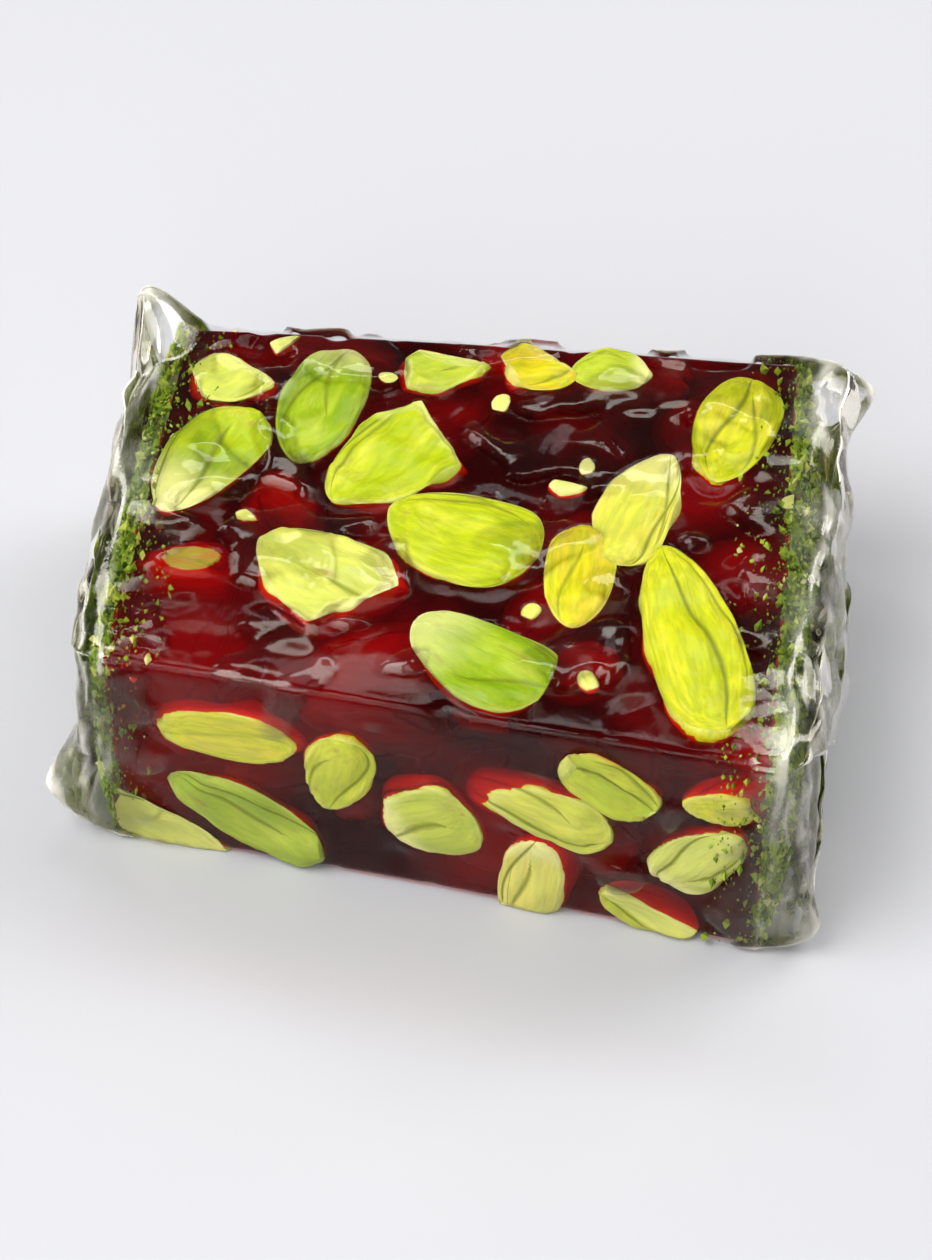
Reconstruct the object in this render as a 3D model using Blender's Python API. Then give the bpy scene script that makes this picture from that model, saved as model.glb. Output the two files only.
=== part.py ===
"""One piece of pomegranate and pistachio Turkish delight in its clear film wrapper.

The sweet is a cut slab, a little deeper at its right end than at its left. The film runs round it as a
tube along X and is folded over both ends like a parcel: the front and back walls are tucked in first,
then the bottom flap comes up and the top flap comes down over it. The folds stand a little clear of
the ends, and the film's loose corners stick out as thin ears.

The closed pack can't be opened without tearing it, so it is one solid, out to the film's outer face.
Metres, +Z up, +X along the film tube. The origin is the middle of the bottom of the box round the pack.
"""

import bmesh
import bpy
from mathutils import Vector

MM = 0.001

# The slab as cut, seen from above: its corners as (x, y). The right end is the deeper one.
FRONT_LEFT = Vector((-20.7, -14.6)) * MM
FRONT_RIGHT = Vector((21.5, -18.2)) * MM
BACK_LEFT = Vector((-21.3, 16.0)) * MM
BACK_RIGHT = Vector((20.5, 17.6)) * MM

# Heights over the film's underside, to the top of the film.
HEIGHT_LEFT = 17.6 * MM
HEIGHT_RIGHT = 18.2 * MM

# The film follows the slab a little way off it, and bridges its corners with a small round.
FILM_SLACK = 0.5 * MM
CORNER_ROUND = 1.1 * MM
TOP_CROWN = 0.35 * MM
WALL_BOW = 0.45 * MM
END_BULGE = 0.9 * MM

# How far the folded flaps reach over an end, and how far their free edges stand off it.
FLAP_REACH = 12.0 * MM
FLAP_INSET = 1.6 * MM
BOTTOM_FLAP_LIFT = 0.8 * MM
TOP_FLAP_LIFT = 1.5 * MM
HINGE_SINK = 0.15 * MM  # a flap's outer face starts this far inside the rounded corner it hinges on

# How deep each fold's solid reaches into the pack that it lies on.
BOTTOM_FLAP_ROOT = 1.5 * MM
TOP_FLAP_ROOT = 2.0 * MM
EAR_ROOT = 2.6 * MM

# The film's loose corners: the end, the share of its depth from the front, the heights of the root's
# low and high points and of the tip as shares of the pack's height, and how far out the tip reaches.
EARS = (
    ("left", 0.965, 0.30, 0.95, 1.12, 2.6 * MM),
    ("left", 0.04, 0.08, 0.70, 0.13, 3.0 * MM),
    ("right", 0.96, 0.30, 0.94, 0.92, 3.4 * MM),
    ("right", 0.04, 0.08, 0.70, 0.20, 3.0 * MM),
)
EAR_THICKNESS = 0.9 * MM
EAR_TIP_THICKNESS = 0.4 * MM

# The pack's skin is a grid of this many cells each way on every side, the outermost of them round its
# corners.
CELLS = 22
CORNER_CELLS = 2

FLAP_ROWS = 7
FLAP_COLUMNS = 9
FLAP_CURVE = 0.7  # under 1, a flap leaves its hinge steeply and then runs straighter

DELIGHT_COLOUR = (0.20, 0.008, 0.014, 1.0)
DELIGHT_ROUGHNESS = 0.22


def clear_scene():
    for thing in list(bpy.data.objects):
        bpy.data.objects.remove(thing)


def delight_material():
    """Deep red jelly under glossy film."""
    material = bpy.data.materials.new("delight_in_film")
    material.use_nodes = True
    shader = material.node_tree.nodes["Principled BSDF"]
    shader.inputs["Base Color"].default_value = DELIGHT_COLOUR
    shader.inputs["Roughness"].default_value = DELIGHT_ROUGHNESS
    shader.inputs["Metallic"].default_value = 0.0
    return material


def between(start, end, share):
    return start + (end - start) * share


def plan_point(along, back):
    """A point of the slab seen from above: along runs 0 to 1 from left to right, back 0 to 1 from the
    front to the back."""
    front = between(FRONT_LEFT, FRONT_RIGHT, along)
    rear = between(BACK_LEFT, BACK_RIGHT, along)
    return between(front, rear, back)


def end_depth(along):
    return (plan_point(along, 1.0) - plan_point(along, 0.0)).length


def pack_height(along):
    return between(HEIGHT_LEFT, HEIGHT_RIGHT, along)


def arch(share, power):
    """1 in the middle of a side, falling to 0 at its two edges."""
    return 1.0 - abs(2.0 * share - 1.0) ** power


def pack_point(along, back, up):
    """A point of the pack's skin from a point of a unit cube's skin. The corners are rounded, each wall
    bows out a little, the top is crowned, the ends bulge and the base is flat."""
    lengths = (FRONT_RIGHT.x - FRONT_LEFT.x, end_depth(along), pack_height(along))
    inner = []
    outwards = Vector()
    for axis, share in enumerate((along, back, up)):
        margin = CORNER_ROUND / lengths[axis]
        kept = min(max(share, margin), 1.0 - margin)
        inner.append(kept)
        outwards[axis] = (share - kept) / margin
    if outwards.length > 0.0:
        outwards.normalize()
    plan = plan_point(inner[0], inner[1])
    point = Vector((plan.x, plan.y, inner[2] * pack_height(along))) + outwards * CORNER_ROUND
    point.x += (2.0 * along - 1.0) * (FILM_SLACK + END_BULGE * arch(up, 2.2) * arch(back, 5))
    point.y += (2.0 * back - 1.0) * (FILM_SLACK + WALL_BOW * arch(up, 3) * arch(along, 4))
    point.z += up * TOP_CROWN * arch(along, 4) * arch(back, 4)
    return point


def new_object(name, shape, helper=False):
    mesh = bpy.data.meshes.new(name)
    bmesh.ops.recalc_face_normals(shape, faces=shape.faces)
    shape.to_mesh(mesh)
    shape.free()
    thing = bpy.data.objects.new(name, mesh)
    if helper:
        thing.hide_render = True
        thing.display_type = "WIRE"
    return thing


def grid_share(step, length):
    """Where the grid's line number step lies, as a share of the length: the outermost cells round the
    corner, and the others divide what is left evenly."""
    margin = CORNER_ROUND / length
    from_edge = min(step, CELLS - step)
    if from_edge <= CORNER_CELLS:
        share = margin * from_edge / CORNER_CELLS
    else:
        half = CELLS / 2.0 - CORNER_CELLS
        share = between(margin, 0.5, (from_edge - CORNER_CELLS) / half)
    return share if step <= CELLS - step else 1.0 - share


def pack_body():
    """The wrapped slab without its folds: a gridded cube moved onto the pack's skin."""
    shape = bmesh.new()
    bmesh.ops.create_cube(shape, size=2.0)
    bmesh.ops.subdivide_edges(shape, edges=shape.edges, cuts=CELLS - 1, use_grid_fill=True)
    for vertex in shape.verts:
        steps = [round((value + 1.0) / 2.0 * CELLS) for value in vertex.co]
        along = grid_share(steps[0], FRONT_RIGHT.x - FRONT_LEFT.x)
        back = grid_share(steps[1], end_depth(along))
        up = grid_share(steps[2], pack_height(along))
        vertex.co = pack_point(along, back, up)
    return new_object("wrapped_delight", shape)


def end_point(end, back, up, off):
    """A point over an end: back and up are shares of its depth and height, and off is how far it
    stands outside the pack's bulging skin there."""
    along, outwards = (0.0, -1.0) if end == "left" else (1.0, 1.0)
    return pack_point(along, back, up) + Vector((outwards * off, 0.0, 0.0))


def closed_sheet(shape, inner, outer):
    """Closes two grids of vertices, one over the other, into a thin solid."""
    rows = len(inner)
    columns = len(inner[0])
    for i in range(rows - 1):
        for j in range(columns - 1):
            for grid in (inner, outer):
                corners = (grid[i][j], grid[i][j + 1], grid[i + 1][j + 1], grid[i + 1][j])
                shape.faces.new(corners[:3])
                shape.faces.new((corners[0], corners[2], corners[3]))
    border = [(0, j) for j in range(columns)]
    border += [(i, columns - 1) for i in range(1, rows)]
    border += [(rows - 1, j) for j in range(columns - 2, -1, -1)]
    border += [(i, 0) for i in range(rows - 2, 0, -1)]
    for k, (i, j) in enumerate(border):
        m, n = border[(k + 1) % len(border)]
        shape.faces.new((inner[i][j], inner[m][n], outer[m][n], outer[i][j]))


def flap(name, end, hinge_up, tip_up, lift, root):
    """A flap hinged on an end's top or bottom edge. Its sides slant in at 45 degrees, as a parcel's
    do, and it stands further off the end the nearer it comes to its free edge."""
    depth = end_depth(0.0 if end == "left" else 1.0)
    shape = bmesh.new()
    inner = []
    outer = []
    for row in range(FLAP_ROWS):
        down = row / (FLAP_ROWS - 1)
        side = between(FLAP_INSET, FLAP_INSET + 0.9 * FLAP_REACH, down) / depth
        up = between(hinge_up, tip_up, down)
        off = between(-HINGE_SINK, lift, down ** FLAP_CURVE)
        backs = [between(side, 1.0 - side, k / (FLAP_COLUMNS - 1)) for k in range(FLAP_COLUMNS)]
        inner.append([shape.verts.new(end_point(end, back, up, -root)) for back in backs])
        outer.append([shape.verts.new(end_point(end, back, up, off)) for back in backs])
    closed_sheet(shape, inner, outer)
    return new_object(name, shape, helper=True)


def ear(name, end, back, low, high, tip_up, reach):
    """A loose corner of the film: a thin upright fin that tapers to a point."""
    shape = bmesh.new()
    outwards = -1.0 if end == "left" else 1.0
    height = pack_height(0.0 if end == "left" else 1.0)
    edge = end_point(end, back, 0.95, 0.0)
    tip = Vector((edge.x + outwards * reach, edge.y, tip_up * height))
    low_root = end_point(end, back, low, -EAR_ROOT)
    high_root = end_point(end, back, high, -EAR_ROOT)
    sides = []
    for way in (-0.5, 0.5):
        root_half = Vector((0.0, EAR_THICKNESS * way, 0.0))
        tip_half = Vector((0.0, EAR_TIP_THICKNESS * way, 0.0))
        corners = (low_root + root_half, high_root + root_half, tip + tip_half)
        sides.append([shape.verts.new(corner) for corner in corners])
    near, far = sides
    shape.faces.new(near)
    shape.faces.new(far)
    for i in range(3):
        j = (i + 1) % 3
        shape.faces.new((near[i], near[j], far[j], far[i]))
    return new_object(name, shape, helper=True)


def film_folds(folds):
    """The flaps and ears of both ends, linked to the collection folds."""
    for end, along in (("left", 0.0), ("right", 1.0)):
        reach = FLAP_REACH / pack_height(along)
        edge = 0.5 * FLAP_INSET / pack_height(along)
        bottom = flap(f"{end}_bottom_flap", end, edge, reach, BOTTOM_FLAP_LIFT, BOTTOM_FLAP_ROOT)
        top = flap(f"{end}_top_flap", end, 1.0 - edge, 1.0 - reach, TOP_FLAP_LIFT, TOP_FLAP_ROOT)
        folds.objects.link(bottom)
        folds.objects.link(top)
    for number, details in enumerate(EARS, start=1):
        folds.objects.link(ear(f"film_ear_{number}", *details))


def join_folds(body, folds):
    joined = body.modifiers.new("film_folds", "BOOLEAN")
    joined.operation = "UNION"
    joined.operand_type = "COLLECTION"
    joined.collection = folds
    joined.solver = "EXACT"


def centre_on_base(body):
    """Moves the pack so that the origin is the middle of its bottom, and returns the move."""
    graph = bpy.context.evaluated_depsgraph_get()
    corners = [Vector(corner) for corner in body.evaluated_get(graph).bound_box]
    middle = sum(corners, Vector()) / len(corners)
    lowest = min(corner.z for corner in corners)
    body.location = (-middle.x, -middle.y, -lowest)
    return body.location


def main():
    clear_scene()
    body = pack_body()
    body.data.materials.append(delight_material())
    bpy.context.scene.collection.objects.link(body)
    folds = bpy.data.collections.new("film_folds")
    bpy.context.scene.collection.children.link(folds)
    film_folds(folds)
    join_folds(body, folds)
    body.data.shade_smooth()
    body.data.set_sharp_from_angle(angle=0.6)
    bpy.context.view_layer.update()
    move = centre_on_base(body)
    for fold in folds.objects:
        fold.location = move


main()
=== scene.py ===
"""The looks of one wrapped piece of pomegranate and pistachio Turkish delight.

The CAD holds the closed pack as one solid. Here it is replaced by what it is made of: a slab of clear
red jelly, pistachio kernels sunk in it, ground pistachio on its two ends, and the crinkled film that is
wound round it along X and folded over both ends like a parcel.
"""

import math

import bpy
import numpy as np
from mathutils import Matrix, Vector
from mathutils.bvhtree import BVHTree


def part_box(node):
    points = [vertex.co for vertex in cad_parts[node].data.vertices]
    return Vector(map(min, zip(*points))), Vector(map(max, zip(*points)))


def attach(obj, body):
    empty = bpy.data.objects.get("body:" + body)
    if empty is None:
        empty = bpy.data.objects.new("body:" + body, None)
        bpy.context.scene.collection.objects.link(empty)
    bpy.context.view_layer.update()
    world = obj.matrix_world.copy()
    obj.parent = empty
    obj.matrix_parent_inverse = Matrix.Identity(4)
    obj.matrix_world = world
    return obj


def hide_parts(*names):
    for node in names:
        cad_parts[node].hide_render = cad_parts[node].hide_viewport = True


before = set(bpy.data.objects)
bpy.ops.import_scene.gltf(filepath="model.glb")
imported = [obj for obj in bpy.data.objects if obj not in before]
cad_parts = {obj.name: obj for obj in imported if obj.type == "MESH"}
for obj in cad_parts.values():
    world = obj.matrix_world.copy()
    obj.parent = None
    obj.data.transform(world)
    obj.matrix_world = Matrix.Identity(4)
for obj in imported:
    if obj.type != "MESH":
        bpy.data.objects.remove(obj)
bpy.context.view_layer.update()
PACK = "wrapped_delight"
PACK_LOW, PACK_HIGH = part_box(PACK)

MM = 0.001

# The slab's corners seen from above, as in the CAD, measured in from the pack's box.
FRONT_LEFT = np.array((PACK_LOW.x + 3.72 * MM, PACK_LOW.y + 4.09 * MM))
FRONT_RIGHT = np.array((PACK_HIGH.x - 3.51 * MM, PACK_LOW.y + 0.49 * MM))
BACK_LEFT = np.array((PACK_LOW.x + 3.12 * MM, PACK_HIGH.y - 2.21 * MM))
BACK_RIGHT = np.array((PACK_HIGH.x - 4.51 * MM, PACK_HIGH.y - 0.61 * MM))
SLAB_BASE = 0.2 * MM
SLAB_TOP_LEFT = 17.3 * MM
SLAB_TOP_RIGHT = 17.9 * MM
SLAB_LENGTH = 42.0 * MM
SLAB_DEPTH = 34.0 * MM
SLAB_HEIGHT = 17.4 * MM

TAU = 2.0 * math.pi


# ---------------- Arrays of points, and meshes made from them -----------------


def waves(seed, wavelength, count):
    """Random directions, as wave numbers, and phases."""
    rng = np.random.default_rng(seed)
    ways = rng.normal(size=(count, 3))
    ways /= np.linalg.norm(ways, axis=1, keepdims=True)
    ways *= TAU / (wavelength * rng.uniform(0.7, 1.5, (count, 1)))
    return ways, rng.uniform(0.0, TAU, count)


def ripples(seed, wavelength, count=28):
    """A smooth random field that takes (n, 3) points: waves of about this length, in random directions.
    Its values are mostly between -2 and 2."""
    ways, phases = waves(seed, wavelength, count)
    return lambda points: np.sin(points @ ways.T + phases).sum(axis=1) * math.sqrt(2.0 / count)


def folds(seed, wavelength, count=8):
    """A random field like ripples, but made of flat facets that meet in straight, sharp creases."""
    ways, phases = waves(seed, wavelength, count)
    peak, scale = math.pi / 2.0, math.sqrt(3.0 / count)
    return lambda points: (np.arcsin(np.sin(points @ ways.T + phases)) / peak).sum(axis=1) * scale


def beside(rows):
    """The sum of each row's two neighbours in a ring of rows."""
    return np.roll(rows, 1, axis=0) + np.roll(rows, -1, axis=0)


def smooth_step(value, low, high):
    share = np.clip((value - low) / (high - low), 0.0, 1.0)
    return share * share * (3.0 - 2.0 * share)


def arch(share, power):
    """1 in the middle of a side, falling to 0 at its two edges."""
    return 1.0 - np.abs(2.0 * share - 1.0) ** power


def new_piece(name, points, faces, material, smooth=True, **attributes):
    """A mesh object. An attribute is one number, or one vector, for each point."""
    mesh = bpy.data.meshes.new(name)
    mesh.from_pydata(np.asarray(points).tolist(), [], np.asarray(faces).tolist())
    mesh.materials.append(material)
    for label, values in attributes.items():
        values = np.asarray(values, np.float32)
        if values.ndim == 1:
            mesh.attributes.new(label, "FLOAT", "POINT").data.foreach_set("value", values)
        else:
            layer = mesh.attributes.new(label, "FLOAT_VECTOR", "POINT")
            layer.data.foreach_set("vector", values.ravel())
    if smooth:
        mesh.shade_smooth()
    piece = bpy.data.objects.new(name, mesh)
    bpy.context.scene.collection.objects.link(piece)
    return piece


def ride_as(piece):
    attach(piece, "root")


class Heap:
    """Many small meshes gathered into one: points, triangles, and each attribute's values at them."""

    def __init__(self, *labels):
        self.points = []
        self.triangles = []
        self.values = {label: [] for label in labels}
        self.count = 0

    def add(self, points, triangles, **values):
        self.points.append(points)
        self.triangles.append(triangles + self.count)
        for label, numbers in self.values.items():
            numbers.append(np.broadcast_to(values[label], (len(points), *np.shape(values[label])[1:])))
        self.count += len(points)

    def piece(self, name, material, smooth=True):
        values = {label: np.concatenate(numbers) for label, numbers in self.values.items()}
        points = np.concatenate(self.points)
        return new_piece(name, points, np.concatenate(self.triangles), material, smooth, **values)

    def tree(self):
        triangles = np.concatenate(self.triangles)
        return BVHTree.FromPolygons(np.concatenate(self.points).tolist(), triangles.tolist())


def quads_between(rows, after):
    """The quads between rows of point numbers and the rows after them."""
    return np.stack((rows[:, :-1], rows[:, 1:], after[:, 1:], after[:, :-1]), axis=-1).reshape(-1, 4)


def as_triangles(quads):
    return np.concatenate((quads[:, [0, 1, 2]], quads[:, [0, 2, 3]]))


def stacked(*grids):
    """(n, 3) points, from three grids of numbers."""
    return np.column_stack([grid.ravel() for grid in grids])


# ------------------------------ The slab's skin -------------------------------


def plan(along, back):
    """Points of the slab seen from above, from shares of its length and of its depth."""
    along = np.asarray(along)[..., None]
    back = np.asarray(back)[..., None]
    front_side = FRONT_LEFT + (FRONT_RIGHT - FRONT_LEFT) * along
    back_side = BACK_LEFT + (BACK_RIGHT - BACK_LEFT) * along
    return front_side + (back_side - front_side) * back


def depth_at(along):
    return np.linalg.norm(plan(along, 1.0) - plan(along, 0.0), axis=-1)


def top_at(along):
    return SLAB_TOP_LEFT + (SLAB_TOP_RIGHT - SLAB_TOP_LEFT) * along


def skin(shares, corner_round):
    """Points on the slab's skin and the ways out of it there, from (n, 3) points of a unit cube's skin."""
    along = shares[:, 0]
    lengths = np.column_stack((np.full_like(along, SLAB_LENGTH), depth_at(along), top_at(along) - SLAB_BASE))
    margins = corner_round / lengths
    kept = np.clip(shares, margins, 1.0 - margins)
    ways = (shares - kept) / margins
    ways /= np.linalg.norm(ways, axis=1, keepdims=True)
    flat = plan(kept[:, 0], kept[:, 1])
    heights = SLAB_BASE + kept[:, 2] * (top_at(kept[:, 0]) - SLAB_BASE)
    return np.column_stack((flat, heights)) + ways * corner_round, ways


def spaced(cells, length, corner_round, corner_cells):
    """Shares of a side at which its grid lines lie: the outermost cells share the corner's round, and
    the others divide what is left evenly."""
    margin = corner_round / length
    round_lines = np.linspace(0.0, margin, corner_cells + 1)
    flat_lines = np.linspace(margin, 1.0 - margin, cells - 2 * corner_cells + 1)
    return np.concatenate((round_lines[:-1], flat_lines, 1.0 - round_lines[-2::-1]))


CORNER_STEPS = ((0, 0), (1, 0), (1, 1), (0, 1))


def skin_lattice(cells):
    """The points on the skin of a box of cells, as index triples, and the quads between them, which
    face out."""
    quads = []
    for axis in range(3):
        u, v = (axis + 1) % 3, (axis + 2) % 3
        a, b = (grid.ravel() for grid in np.indices((cells[u], cells[v])))
        for side, steps in ((0, CORNER_STEPS[::-1]), (cells[axis], CORNER_STEPS)):
            corners = np.full((len(a), 4, 3), side)
            for number, (step_a, step_b) in enumerate(steps):
                corners[:, number, u] = a + step_a
                corners[:, number, v] = b + step_b
            quads.append(corners)
    quads = np.concatenate(quads)
    wide, deep = cells[1] + 1, cells[2] + 1
    codes = (quads[..., 0] * wide + quads[..., 1]) * deep + quads[..., 2]
    codes, index = np.unique(codes, return_inverse=True)
    triples = np.column_stack((codes // (wide * deep), codes // deep % wide, codes % deep))
    return triples, index.reshape(-1, 4)


class Face:
    """One flat side of the slab, with a frame of its own: a point in its middle, and as the columns of
    axes, the ways across it, upwards and out."""

    def __init__(self, corners):
        low_left, low_right, high_right, high_left = (np.array(corner) for corner in corners)
        self.middle = (low_left + low_right + high_right + high_left) / 4.0
        across = (low_right + high_right - low_left - high_left) / 2.0
        upwards = (high_left + high_right - low_left - low_right) / 2.0
        self.out = np.cross(across, upwards)
        self.out /= np.linalg.norm(self.out)
        self.width = np.linalg.norm(across)
        self.height = np.linalg.norm(upwards)
        across = across / self.width
        self.axes = np.column_stack((across, np.cross(self.out, across), self.out))

    def place(self, local):
        """Points in the row frame, from (n, 3) points across, upwards and out."""
        return self.middle + local @ self.axes.T


def slab_corner(flat, high):
    top = SLAB_TOP_LEFT if flat[0] < 0.0 else SLAB_TOP_RIGHT
    return (*flat, top if high else SLAB_BASE)


def slab_face(*corners):
    return Face([slab_corner(corner, high) for corner, high in corners])


FACES = {
    "top": slab_face((FRONT_LEFT, 1), (FRONT_RIGHT, 1), (BACK_RIGHT, 1), (BACK_LEFT, 1)),
    "bottom": slab_face((BACK_LEFT, 0), (BACK_RIGHT, 0), (FRONT_RIGHT, 0), (FRONT_LEFT, 0)),
    "front": slab_face((FRONT_LEFT, 0), (FRONT_RIGHT, 0), (FRONT_RIGHT, 1), (FRONT_LEFT, 1)),
    "back": slab_face((BACK_RIGHT, 0), (BACK_LEFT, 0), (BACK_LEFT, 1), (BACK_RIGHT, 1)),
    "left": slab_face((BACK_LEFT, 0), (FRONT_LEFT, 0), (FRONT_LEFT, 1), (BACK_LEFT, 1)),
    "right": slab_face((FRONT_RIGHT, 0), (BACK_RIGHT, 0), (BACK_RIGHT, 1), (FRONT_RIGHT, 1)),
}


# --------------------------------- Materials ----------------------------------


def colour(red, green, blue):
    return (red, green, blue, 1.0)


class Shading:
    """A material's or a world's node tree, with short calls that add a node and return its output."""

    def __init__(self, name, owners=bpy.data.materials, surface="Principled BSDF", output="Material Output"):
        self.owner = owners.new(name)
        self.owner.use_nodes = True
        self.tree = self.owner.node_tree
        self.surface = self.tree.nodes[surface]
        self.output = self.tree.nodes[output]

    def feed(self, socket, value):
        """A value is a number, a colour or another node's output."""
        if isinstance(value, bpy.types.NodeSocket):
            self.tree.links.new(value, socket)
        else:
            socket.default_value = value

    def set(self, node, **values):
        """Names use _ for a space."""
        for label, value in values.items():
            self.feed(node.inputs[label.replace("_", " ")], value)
        return node

    def finish(self, **values):
        """Sets the surface's own inputs, and returns the finished material or world."""
        self.set(self.surface, **values)
        return self.owner

    def node(self, kind, **values):
        return self.set(self.tree.nodes.new(kind), **values)

    def numbered(self, kind, inputs, **settings):
        """The outputs of a node whose inputs are told by their numbers."""
        node = self.tree.nodes.new(kind)
        for label, setting in settings.items():
            setattr(node, label, setting)
        for number, value in inputs.items():
            self.feed(node.inputs[number], value)
        return node.outputs

    def attribute(self, label, output="Fac"):
        return self.numbered("ShaderNodeAttribute", {}, attribute_name=label)[output]

    def place(self):
        return self.node("ShaderNodeTexCoord").outputs["Object"]

    def is_ray(self, kind):
        return self.node("ShaderNodeLightPath").outputs[f"Is {kind} Ray"]

    def noise(self, place, scale, detail=3.0, roughness=0.55):
        node = self.node("ShaderNodeTexNoise", Vector=place, Scale=scale, Detail=detail)
        return self.set(node, Roughness=roughness).outputs["Fac"]

    def ramp(self, factor, *stops):
        """A colour from stops of (position, colour)."""
        node = self.node("ShaderNodeValToRGB", Fac=factor)
        elements = node.color_ramp.elements
        while len(elements) < len(stops):
            elements.new(0.5)
        for element, (position, shade) in zip(elements, stops):
            element.position = position
            element.color = shade
        return node.outputs["Color"]

    def parts(self, vector):
        """The three numbers in a vector."""
        return self.node("ShaderNodeSeparateXYZ", Vector=vector).outputs

    def mix(self, factor, first, second):
        """A colour between two."""
        return self.numbered("ShaderNodeMix", {0: factor, 6: first, 7: second}, data_type="RGBA")[2]

    def maths(self, operation, first, second=0.0, clamp=False):
        inputs = {0: first, 1: second}
        return self.numbered("ShaderNodeMath", inputs, operation=operation, use_clamp=clamp)[0]

    def vector_maths(self, operation, first, second=(0.0, 0.0, 0.0)):
        return self.numbered("ShaderNodeVectorMath", {0: first, 1: second}, operation=operation)

    def span(self, value, low, high, to_low, to_high):
        """A value's place between low and high, carried over to to_low and to_high."""
        node = self.node("ShaderNodeMapRange", Value=value)
        self.set(node, From_Min=low, From_Max=high, To_Min=to_low, To_Max=to_high)
        return node.outputs["Result"]

    def bump(self, height, strength, distance):
        node = self.node("ShaderNodeBump", Height=height, Strength=strength, Distance=distance)
        return node.outputs["Normal"]

    def blend_surfaces(self, share, first, second):
        """Sends share of second over first to the output."""
        mixed = self.numbered("ShaderNodeMixShader", {0: share, 1: first.outputs[0], 2: second.outputs[0]})
        self.feed(self.output.inputs["Surface"], mixed[0])


JELLY_TINT = colour(0.76, 0.005, 0.009)
JELLY_VOLUME_COLOUR = colour(0.81, 0.0, 0.06)  # the more of a colour there is, the less is absorbed
JELLY_ABSORPTION = 1200.0
JELLY_SHADE = colour(0.9, 0.45, 0.45)  # how much of a lamp's light goes on through a face of it


def jelly_material():
    """Deep red jelly, clear in places and a little cloudy, and so brighter red, in others. The cloudy
    patches are partly the jelly's own and partly a painted glow, placed where light would shine through
    it. Light from lamps goes on through it to the kernels."""
    shading = Shading("pomegranate_jelly")
    swell = shading.noise(shading.place(), 300.0)
    clouds = shading.noise(shading.place(), 120.0, detail=4.0, roughness=0.6)
    # Painted glow: the cloudy patches lower the transmission and so paint the jelly brighter red there.
    cloudy = shading.maths("ADD", shading.attribute("glow"), shading.span(clouds, 0.45, 0.75, 0.0, 0.6))
    open_way = shading.node("ShaderNodeBsdfTransparent", Color=JELLY_SHADE)
    shading.blend_surfaces(shading.is_ray("Shadow"), shading.surface, open_way)
    depth = shading.node("ShaderNodeVolumeAbsorption", Color=JELLY_VOLUME_COLOUR, Density=JELLY_ABSORPTION)
    shading.feed(shading.output.inputs["Volume"], depth.outputs[0])
    return shading.finish(
        Base_Color=JELLY_TINT,
        Roughness=0.1,
        IOR=1.42,
        Specular_IOR_Level=0.08,
        Specular_Tint=colour(0.25, 0.25, 0.25),
        Transmission_Weight=shading.span(cloudy, 0.0, 1.0, 0.98, 0.84),
        Normal=shading.bump(swell, 0.2, 0.4 * MM),
    )


ALONG_GRAIN = (0.4, 1.0, 1.0)  # a kernel's grain is drawn out along its length


def kernel_material():
    """Peeled pistachio kernels: green, yellow-green or golden, mottled and veined along their length, and
    paler where they are cut and along their rims. Painted shade darkens their seam and fold creases."""
    shading = Shading("pistachio_kernel")
    grain = shading.attribute("grain", "Vector")
    mottle = shading.noise(grain, 430.0, detail=5.0, roughness=0.62)
    drawn_out = shading.vector_maths("MULTIPLY", grain, ALONG_GRAIN)["Vector"]
    vein = shading.noise(drawn_out, 2100.0, roughness=0.6)
    tone = shading.maths("ADD", shading.attribute("tint"), shading.span(mottle, 0.3, 0.7, -0.26, 0.2))
    skin_colour = shading.ramp(
        shading.maths("MULTIPLY", tone, 0.8),
        (0.0, colour(0.18, 0.32, 0.003)),
        (0.2, colour(0.35, 0.47, 0.003)),
        (0.4, colour(0.51, 0.56, 0.006)),
        (0.6, colour(0.63, 0.61, 0.009)),
        (0.8, colour(0.70, 0.52, 0.010)),
        (1.0, colour(0.33, 0.15, 0.02)),
    )
    veined = shading.mix(shading.span(vein, 0.40, 0.60, 0.45, 0.0), skin_colour, colour(0.26, 0.33, 0.005))
    paler = shading.maths("ADD", shading.attribute("pale"), shading.span(mottle, 0.5, 0.75, 0.0, 0.14))
    pale = shading.mix(shading.maths("MINIMUM", paler, 0.9), veined, colour(0.78, 0.76, 0.30))
    seam, fold, skin_left = shading.parts(shading.attribute("creases", "Vector"))
    in_seam = shading.span(shading.maths("ABSOLUTE", seam), 0.02, 0.11, 0.85, 0.0)
    in_fold = shading.span(shading.maths("ABSOLUTE", fold), 0.01, 0.06, 0.7, 0.0)
    # Painted shade: the colour is darkened along the seam and the fold, as shade in the creases.
    dark = shading.maths("MULTIPLY", shading.maths("MAXIMUM", in_seam, in_fold), skin_left)
    crease_shaded = shading.mix(dark, pale, colour(0.15, 0.18, 0.006))
    husk = shading.span(shading.noise(grain, 950.0, detail=2.0), 0.66, 0.76, 0.0, 0.4)
    return shading.finish(
        Base_Color=shading.mix(husk, crease_shaded, colour(0.34, 0.13, 0.06)),
        Roughness=shading.span(mottle, 0.3, 0.7, 0.36, 0.54),
        Specular_IOR_Level=0.2,
        Subsurface_Weight=0.15,
        Subsurface_Radius=(1.0, 0.8, 0.2),
        Subsurface_Scale=0.8 * MM,
        Normal=shading.bump(vein, 0.6, 0.2 * MM),
    )


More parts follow.
